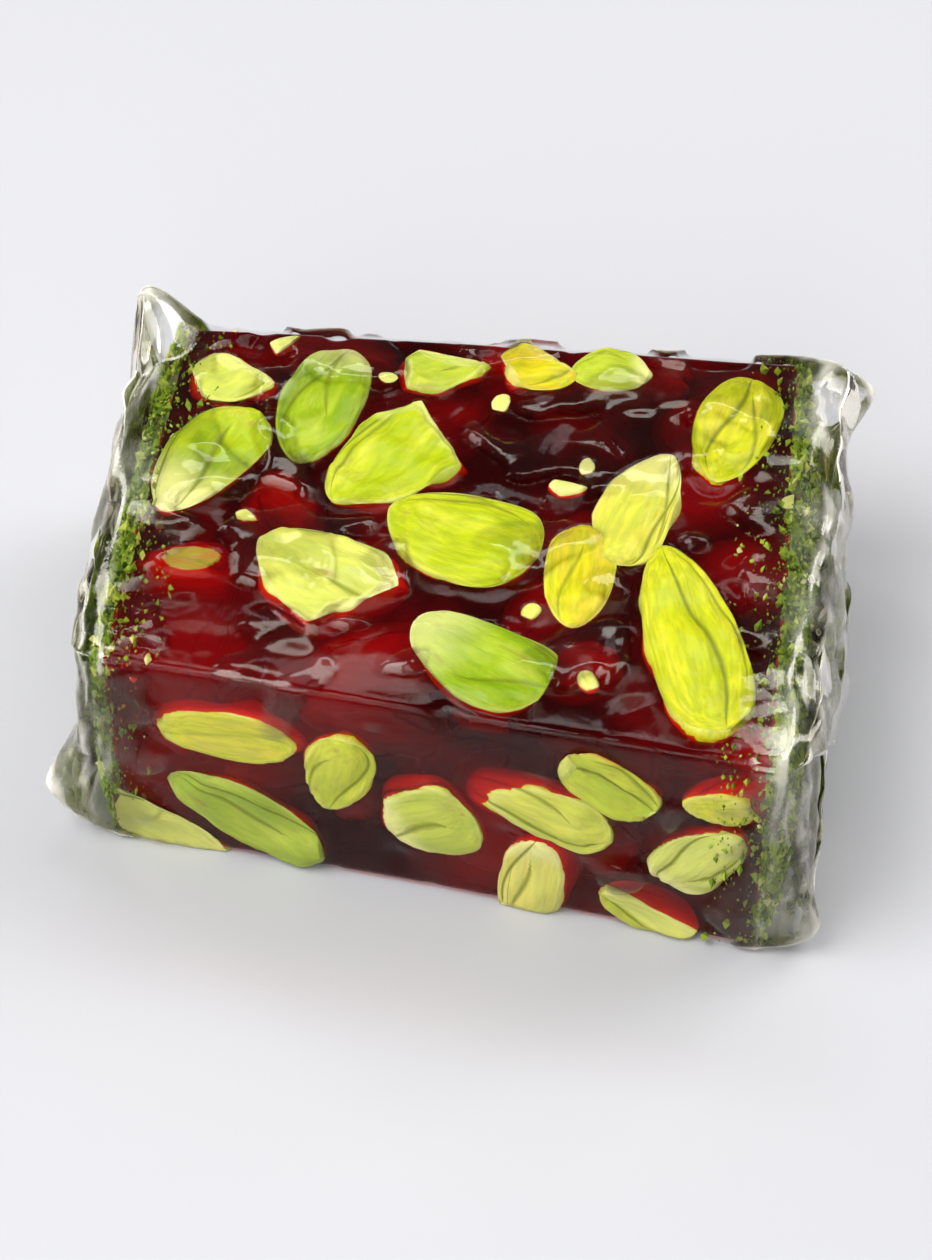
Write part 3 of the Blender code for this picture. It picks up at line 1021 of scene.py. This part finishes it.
def add_chips(heap, face, seed):
    """Chips of ground nut, pressed into the end and strewn over its edges."""
    rng = np.random.default_rng(seed)
    ball, triangles = chip_shape()
    for _ in range(CHIPS_AN_END):
        big = rng.random() ** 6.0
        size = (0.26 + 1.0 * big) * rng.uniform((0.8, 0.55, 0.4), (1.5, 1.1, 0.8)) * MM
        at = chip_place(rng, face)
        if at[2] < 0.0:
            size *= 0.75
        turned = (ball * (1.0 + rng.uniform(-0.3, 0.3, (len(ball), 1)))) * size
        turns = ((rng.uniform(0, 360), "Z"), (rng.uniform(-35, 35), "X"), (rng.uniform(0, 360), "Z"))
        turned = turned @ rotation(*turns).T
        tint = np.clip(rng.beta(2.2, 2.2) + 0.15 * big, 0.0, 1.0) if rng.random() > 0.04 else 0.0
        placed = face.place(turned + np.array(at))
        placed[:, 2] = np.maximum(placed[:, 2], CHIP_OFF)
        heap.add(placed, triangles, tint=tint)


def make_ground():
    heap = Heap("tint")
    for number, name in enumerate(("left", "right")):
        add_coat(heap, FACES[name], 60 + 3 * number)
        add_chips(heap, FACES[name], 70 + number)
    return heap


# -------------------------- The film round the slab ---------------------------

FILM_ROUND = 0.6 * MM
FILM_OFF = 0.1 * MM
FILM_CELLS = (132, 104, 54)
FILM_LOWEST = 0.02 * MM
UNDER_FILM = (-0.1 * MM, 1.6 * MM)  # the lowest and highest that what lies under it counts
RAY_OVER_FILM = 4.0 * MM
STUCK_ROUNDS = 14  # of pulling the film tight, where it sticks to what lies under it
FREE_ROUNDS = 160
EVEN_ROUNDS = 60
RIM_ROUNDS = 25
TENSION_CREASES = 120

# Where the film hangs free over the top: across and upwards in millimetres from the middle of the pack,
# and the patch's radius.
LOOSE_ON_TOP = ((10.0, 9.5, 5.0), (5.0, 7.0, 3.5), (-11.5, -3.0, 3.5), (8.5, -10.0, 3.0), (20.0, 4.0, 3.0))
LOOSE_LIFT = 0.12 * MM
STRAIGHT_TO = 3.0 * MM  # how far from the slab's ends the film's edge folds even out its bumps
CRUMPLE = 0.10 * MM


def tube_shares():
    """Points round the unit square that the film's tube goes round, as (back, up): along the top from
    front to back, down the back, along the bottom and up the front. Also the panel of each."""
    backs = spaced(FILM_CELLS[1], SLAB_DEPTH, FILM_ROUND, 3)
    ups = spaced(FILM_CELLS[2], SLAB_HEIGHT, FILM_ROUND, 3)
    sides = {
        "top": (backs[:-1], 1.0),
        "back": (1.0, ups[:0:-1]),
        "bottom": (backs[:0:-1], 0.0),
        "front": (0.0, ups[:-1]),
    }
    points = [np.column_stack(np.broadcast_arrays(*side)) for side in sides.values()]
    return np.concatenate(points), np.repeat(list(sides), [len(side) for side in points])


def looseness(points, ways, from_end):
    """How free the film hangs, from 0, where it sticks, to 1: in patches, and towards the ends."""
    patchy = ripples(31, 12.0 * MM)(points) + 0.6 * ripples(32, 4.5 * MM)(points)
    over_top = np.full(len(points), -3.0)
    for across, upwards, radius in LOOSE_ON_TOP:
        away = np.hypot(points[:, 0] / MM - across, points[:, 1] / MM - upwards) / radius
        over_top = np.maximum(over_top, 1.6 - 1.4 * away)
    wander = 0.4 * ripples(33, 3.5 * MM)(points)
    on_top = ways[:, 2] > 0.7
    value = np.where(on_top, np.maximum(over_top, patchy - 1.0) + wander, patchy - 1.5)
    value = np.maximum(value, 1.2 - 0.45 * (from_end / MM) + wander)
    return smooth_step(value, 0.0, 0.35)


def tension_creases(points, ways, seed, count):
    """Straight, sharp creases that run in over the slab from its ends, where the film is folded."""
    rng = np.random.default_rng(seed)
    lift = np.zeros(len(points))
    at_ends = np.flatnonzero(np.abs(points[:, 0]) > 0.42 * SLAB_LENGTH)
    for number in range(count):
        start = rng.choice(at_ends) if number % 3 else rng.integers(len(points))
        centre, facing = points[start], ways[start]
        heading = np.array((1.0, 0.0, 0.0)) + rng.normal(size=3) * (0.45 if number % 3 else 2.0)
        heading -= facing * (heading @ facing)
        heading /= np.linalg.norm(heading)
        across = np.cross(facing, heading)
        gap = points - centre
        reach = rng.uniform(2.5, 9.0) * MM
        wide = rng.uniform(0.45, 0.95) * MM
        along = gap @ heading / reach
        aside = np.abs(gap @ across + 0.06 * reach * along**2) / wide
        near = (np.abs(gap @ facing) < 1.5 * MM) & (ways @ facing > 0.6)
        tent = np.maximum(1.0 - aside, 0.0) * np.maximum(1.0 - along**2, 0.0)
        lift += np.where(near, tent * rng.uniform(0.06, 0.2) * MM, 0.0)
    return lift


def membrane(obstacle, rounds):
    """The film's height over the slab's skin: pulled tight over what lies under it. The more rounds, the
    further it spans."""
    height = obstacle.copy()
    for _ in range(rounds):
        sided = np.empty_like(height)
        sided[:, 1:-1] = height[:, 2:] + height[:, :-2]
        sided[:, 0] = 2.0 * height[:, 1]
        sided[:, -1] = 2.0 * height[:, -2]
        height = np.maximum(obstacle, (beside(height) + sided) / 4.0)
    return height


def heights_under(points, ways, solids):
    """How high what lies under the film stands over the slab's skin."""
    lowest, highest = UNDER_FILM
    heights = np.full(len(points), lowest)
    for tree in solids:
        for number, (point, way) in enumerate(zip(points, ways)):
            start = Vector(point + way * RAY_OVER_FILM)
            distance = tree.ray_cast(start, Vector(-way), 2.0 * RAY_OVER_FILM)[3]
            if distance is not None:
                heights[number] = max(heights[number], min(RAY_OVER_FILM - distance, highest))
    return heights


def evened(ring, rounds):
    """A closed ring of points with its small bumps smoothed away."""
    for _ in range(rounds):
        ring = ring + (beside(ring) - 2.0 * ring) / 4.0
    return ring


def film_tube(solids):
    """The film along the slab, as (round, along, 3) points, how loose it is at each, and the panels."""
    ring, panels = tube_shares()
    alongs = spaced(FILM_CELLS[0], SLAB_LENGTH, FILM_ROUND, 2)
    shares = np.empty((len(ring), len(alongs), 3))
    shares[..., 0] = alongs[None, :]
    shares[..., 1:] = ring[:, None, :]
    shape = shares.shape[:2]
    shares = shares.reshape(-1, 3)
    flat = shares.copy()
    flat[:, 0] = np.clip(flat[:, 0], FILM_ROUND / SLAB_LENGTH, 1.0 - FILM_ROUND / SLAB_LENGTH)
    points, ways = skin(flat, FILM_ROUND)
    points[:, 0] += (shares[:, 0] - flat[:, 0]) * SLAB_LENGTH
    obstacle = heights_under(points, ways, solids).reshape(shape) + FILM_OFF
    from_end = np.minimum(shares[:, 0], 1.0 - shares[:, 0]) * SLAB_LENGTH
    loose = looseness(points, ways, from_end)
    stuck = membrane(obstacle, STUCK_ROUNDS).ravel()
    free = membrane(obstacle, FREE_ROUNDS).ravel() + LOOSE_LIFT
    crumpled = np.abs(folds(6, 6.5 * MM)(points) + 0.45 * folds(7, 2.6 * MM)(points))
    height = stuck + (free - stuck) * loose
    height += (0.15 + 0.85 * loose) * CRUMPLE * crumpled
    height += tension_creases(points, ways, 5, TENSION_CREASES)
    straight = evened(free.reshape(shape), EVEN_ROUNDS).ravel() + 0.3 * CRUMPLE * crumpled
    height += (straight - height) * (1.0 - smooth_step(from_end, FILM_ROUND, STRAIGHT_TO))
    below = ways[:, 2] < -0.5
    height = np.where(below, np.minimum(height, SLAB_BASE * 0.8), height)
    points = points + ways * height[:, None]
    return points.reshape(*shape, 3), loose.reshape(shape), panels


# --------------------------- The film's folded ends ---------------------------

FLAP_ROWS = 38
FLAP_REACH = 13.5 * MM
BEND_LENGTH = 3.4 * MM  # of film, from the slab's edge to where it has turned down over the end
BEND_DROP = 1.1 * MM
CLEARANCE = 1.4 * MM  # from the bulging end to the innermost layer
SIDE_LAYER = 0.2 * MM
LAYER_GAP = 0.14 * MM
LAYER_RISE = 0.04  # how fast the layers part along a diagonal fold
BOTTOM_LIFT = 0.7 * MM
TOP_LIFT = 1.0 * MM
END_CRUMPLE = 0.16 * MM
EVEN_AFTER = 1.6 * MM
RIDGE_APART = 1.7 * MM
RIDGE_HEIGHT = 0.12 * MM

# Where the folded end stands further off the slab: across and upwards as shares of the end, how far,
# and how wide the bulge is.
SLACK = {
    "left": ((0.05, 0.9, 1.0, 0.35), (0.98, 0.15, 1.0, 0.3), (0.55, 0.85, 0.5, 0.3)),
    "right": ((0.05, 0.2, 1.0, 0.3), (0.5, 0.9, 0.8, 0.4), (0.97, 0.85, 1.0, 0.3)),
}

# The film's loose corners: where, along, back and up as shares of the slab, which way and how far the
# tip is pulled out, and how wide its root is.
EARS = (
    (-0.05, 0.97, 0.92, (-0.4, 2.2, 4.4), 4.2),
    (-0.05, 0.03, 0.25, (-2.6, -1.0, -0.2), 4.0),
    (1.05, 0.97, 0.85, (3.0, 1.0, 0.6), 4.0),
    (1.05, 0.03, 0.15, (1.6, -0.4, -0.6), 3.0),
)
# How much more of the painted white haze and highlights the film has on its ears.
EAR_VEIL = 1.2  # how much whiter the film is there


def end_clearance(face, name, across, upwards):
    """How far outside the slab's end face the folded film's innermost layer lies."""
    height = end_bulge(face, across, upwards) + CLEARANCE
    a, u = end_shares(face, across, upwards)
    for at_a, at_u, off, wide in SLACK[name]:
        height = height + off * MM * np.exp(-(((a - at_a) ** 2 + ((u - at_u) * 0.6) ** 2) / wide**2))
    return height


def fold_end(name, rim, panels):
    """The film past one end of the tube, as (round, rows, 3) points, folded over the end like a parcel.
    rim is the tube's last ring of points."""
    face = FACES[name]
    seed = 21 if name == "left" else 25
    local = (rim - face.middle) @ face.axes
    rows = np.linspace(0.0, 1.0, FLAP_ROWS + 1)[None, 1:] * FLAP_REACH
    turned = np.clip(rows / BEND_LENGTH, 0.0, 1.0) * math.pi / 2.0
    gone = BEND_DROP * (1.0 - np.cos(turned)) + np.maximum(rows - BEND_LENGTH, 0.0)

    # Over the bend the bumps of the tube's rim fade, and ridges run along the slab's edge instead.
    even = smooth_step(rows, 0.0, EVEN_AFTER)
    start = local[:, None] * (1.0 - even[..., None]) + evened(local, RIM_ROUNDS)[:, None] * even[..., None]
    spots = np.broadcast_to(0.2 * local[:, None], start.shape).copy()
    spots[..., 2] = rows
    ridges = folds(seed + 3, RIDGE_APART)(spots.reshape(-1, 3)).reshape(start.shape[:2])
    ridges *= RIDGE_HEIGHT * np.sin(2.0 * turned)
    u_side, v_side = np.sign(start[..., 0]), np.sign(start[..., 1])
    flaps = ((panels == "top") | (panels == "bottom"))[:, None]
    u_start = start[..., 0] + np.where(flaps, 0.0, u_side * ridges)
    v_start = start[..., 1] + np.where(flaps, v_side * ridges, 0.0)
    from_side = np.maximum(face.width / 2.0 - np.abs(u_start), 0.0)

    in_flap = gone <= from_side
    flap_u = np.where(in_flap, u_start, u_side * (np.abs(u_start) + from_side - gone))
    flap_v = v_side * (np.abs(v_start) - np.minimum(gone, from_side))
    top = (panels == "top")[:, None]
    u = np.where(flaps, flap_u, u_side * (np.abs(u_start) - gone))
    v = np.where(flaps, flap_v, v_start)

    free = smooth_step(from_side - gone, 0.0, 5.0 * MM) * (gone / FLAP_REACH) ** 1.3
    lift = np.where(top, TOP_LIFT, BOTTOM_LIFT) * free * in_flap
    overlap = np.where(top & in_flap, 2.5 * LAYER_GAP * gone / FLAP_REACH, 0.0)
    flap_layer = LAYER_GAP + LAYER_RISE * np.minimum(gone, from_side) + lift + overlap
    layer = SIDE_LAYER + np.where(flaps, flap_layer, 0.0)
    number = np.where(flaps & in_flap, np.where(top, 2.0, 1.0), 0.0)
    spots = stacked(u, v, number * 17.0 * MM)
    crumpled = folds(seed, 6.0 * MM)(spots) + 0.4 * folds(seed + 1, 2.4 * MM)(spots)
    crumpled += 0.35 * folds(seed + 2, 3.0 * MM)(spots * np.array((0.25, 1.0, 1.0)))
    out = end_clearance(face, name, u, v) + layer + END_CRUMPLE * crumpled.reshape(u.shape)
    out = np.sin(turned) * out + ridges
    return face.place(stacked(u, v, out)).reshape(len(rim), FLAP_ROWS, 3)


def pull_ears(points):
    """Pulls the film's loose corners out to points. Also returns how much each point belongs to one."""
    pulled = points.copy()
    belongs = np.zeros(points.shape[:2])
    for along, back, up, pull, wide in EARS:
        flat = plan(along, back)
        root = np.array((*flat, SLAB_BASE + up * (top_at(along) - SLAB_BASE)))
        near = np.maximum(1.0 - np.linalg.norm(points - root, axis=-1) / (wide * MM), 0.0)
        pulled += (near**1.4)[..., None] * np.array(pull) * MM
        belongs = np.maximum(belongs, near)
    return pulled, belongs


def smoothed(points, rounds, strength):
    """Rounds a folded grid's corners. The grid is closed the first way and open the second."""
    points = points.copy()
    for _ in range(rounds):
        inner = (beside(points)[:, 1:-1] + points[:, 2:] + points[:, :-2]) / 4.0
        points[:, 1:-1] += strength[None, 1:-1, None] * (inner - points[:, 1:-1])
    return points


def bend_at(points):
    """How sharply the film turns at each point of its grid: how far the point lies off its neighbours,
    square to the film, as a share of how far they are away. The grid is closed the first way."""
    after, before = np.roll(points, -1, axis=0), np.roll(points, 1, axis=0)
    bend = np.zeros(points.shape[:2])
    inner = points[:, 1:-1]
    square = np.cross((after - before)[:, 1:-1], points[:, 2:] - points[:, :-2])
    square /= np.maximum(np.linalg.norm(square, axis=-1, keepdims=True), 1e-12)
    ringed = (after + before)[:, 1:-1] / 2.0 - inner
    sided = (points[:, 2:] + points[:, :-2]) / 2.0 - inner
    reach = FLAP_REACH / FLAP_ROWS
    bend[:, 1:-1] = np.abs(((ringed + sided) * square).sum(axis=-1)) / reach
    return bend


def make_film(material, solids):
    tube, loose, panels = film_tube(solids)
    left = fold_end("left", tube[:, 0], panels)
    right = fold_end("right", tube[:, -1], panels)
    grid = np.concatenate((left[:, ::-1], tube, right), axis=1)
    rounds, columns = grid.shape[:2]
    number = np.arange(columns)
    past_end = np.maximum(FLAP_ROWS - number, number - (columns - 1 - FLAP_ROWS))
    grid = smoothed(grid, 2, np.where(past_end > 0, 0.4, 0.0))
    grid, in_ear = pull_ears(grid)
    grid[..., 2] = np.maximum(grid[..., 2], FILM_LOWEST)

    at_ends = np.ones((rounds, FLAP_ROWS))
    loose = np.concatenate((at_ends, loose, at_ends), axis=1)
    # The veil: where the film takes its painted white haze and highlights, towards the ends and most on the
    # ears.
    veil = smooth_step(past_end, -5.0, 3.0) * (1.0 + EAR_VEIL * in_ear)
    at = np.arange(rounds * columns).reshape(rounds, columns)
    quads = quads_between(at, np.roll(at, -1, axis=0))
    values = {"veil": veil.ravel(), "loose": loose.ravel(), "bend": bend_at(grid).ravel()}
    return new_piece("film_wrapper", grid.reshape(-1, 3), quads, material, **values)


# -------------------- The floor, the light and the camera ---------------------

FLOOR_HALF = 3.0

# Each lamp's place, its width and height, and its power.
LAMPS = {
    "overhead_softbox": ((-0.28, -0.16, 0.52), (0.36, 0.36), 3.4),
    "key_softbox": ((0.26, 0.2, 0.42), (0.3, 0.3), 1.4),
    "back_strip": ((-0.03, 0.27, 0.46), (0.3, 0.1), 0.5),
    "left_rim": ((-0.5, 0.4, 0.34), (0.12, 0.36), 0.6),
    "right_rim": ((0.54, 0.36, 0.34), (0.12, 0.36), 0.6),
    "front_fill": ((-0.1, -0.6, 0.42), (0.5, 0.4), 2.4),
}
LIT_POINT = Vector((0.0, 0.0, 0.01))
ROOM_COLOUR = colour(0.93, 0.94, 1.0)
ROOM_STRENGTH = 0.1


def make_floor():
    half = FLOOR_HALF
    corners = ((-half, -half, 0.0), (half, -half, 0.0), (half, half, 0.0), (-half, half, 0.0))
    floor = new_piece("floor", corners, ((0, 1, 2, 3),), floor_material())


def make_lamp(name, place, size, power):
    lamp = bpy.data.lights.new(name, "AREA")
    lamp.shape = "RECTANGLE"
    lamp.size, lamp.size_y = size
    lamp.energy = power
    holder = bpy.data.objects.new(name, lamp)
    holder.location = place
    holder.rotation_euler = (LIT_POINT - Vector(place)).to_track_quat("-Z", "Y").to_euler()
    bpy.context.scene.collection.objects.link(holder)


def make_world():
    """A dim room, with a pale backdrop behind the floor that lights nothing."""
    shading = Shading("studio", bpy.data.worlds, "Background", "World Output")
    backdrop = shading.node("ShaderNodeBackground", Color=BACKDROP_COLOUR, Strength=BACKDROP_STRENGTH)
    shading.blend_surfaces(shading.is_ray("Camera"), shading.surface, backdrop)
    return shading.finish(Color=ROOM_COLOUR, Strength=ROOM_STRENGTH)


def make_light():
    for name, (place, size, power) in LAMPS.items():
        make_lamp(name, place, size, power)
    bpy.context.scene.world = make_world()


CAMERA_ELEVATION = 48.0
CAMERA_AZIMUTH = 8.0
CAMERA_LENS = 100.0
CAMERA_DISTANCE = 0.232
CAMERA_TARGET = Vector((0.0, -0.0005, 0.008))


def make_camera():
    camera = bpy.data.cameras.new("camera")
    camera.lens = CAMERA_LENS
    camera.sensor_width = 36.0
    camera.clip_start = 0.01
    up, side = math.radians(CAMERA_ELEVATION), math.radians(CAMERA_AZIMUTH)
    way = Vector((math.sin(side) * math.cos(up), -math.cos(side) * math.cos(up), math.sin(up)))
    holder = bpy.data.objects.new("camera", camera)
    holder.location = CAMERA_TARGET + way * CAMERA_DISTANCE
    holder.rotation_euler = (-way).to_track_quat("-Z", "Y").to_euler()
    bpy.context.scene.collection.objects.link(holder)
    bpy.context.scene.camera = holder


def main():
    scene = bpy.context.scene
    scene.view_settings.view_transform = "Standard"
    scene.cycles.transparent_max_bounces = 32
    make_camera()
    make_floor()
    make_light()
    kernels = make_kernels()
    ride_as(kernels.piece("pistachio_kernels", kernel_material()))
    kernels_tree = kernels.tree()
    jelly = make_jelly(jelly_material(), kernels_tree)
    ride_as(jelly)
    ground = make_ground()
    ride_as(ground.piece("ground_pistachio", ground_material(), smooth=False))
    jelly_tree = BVHTree.FromObject(jelly, bpy.context.evaluated_depsgraph_get())
    film = make_film(film_material(), (jelly_tree, kernels_tree, ground.tree()))
    ride_as(film)
    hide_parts(PACK)


main()
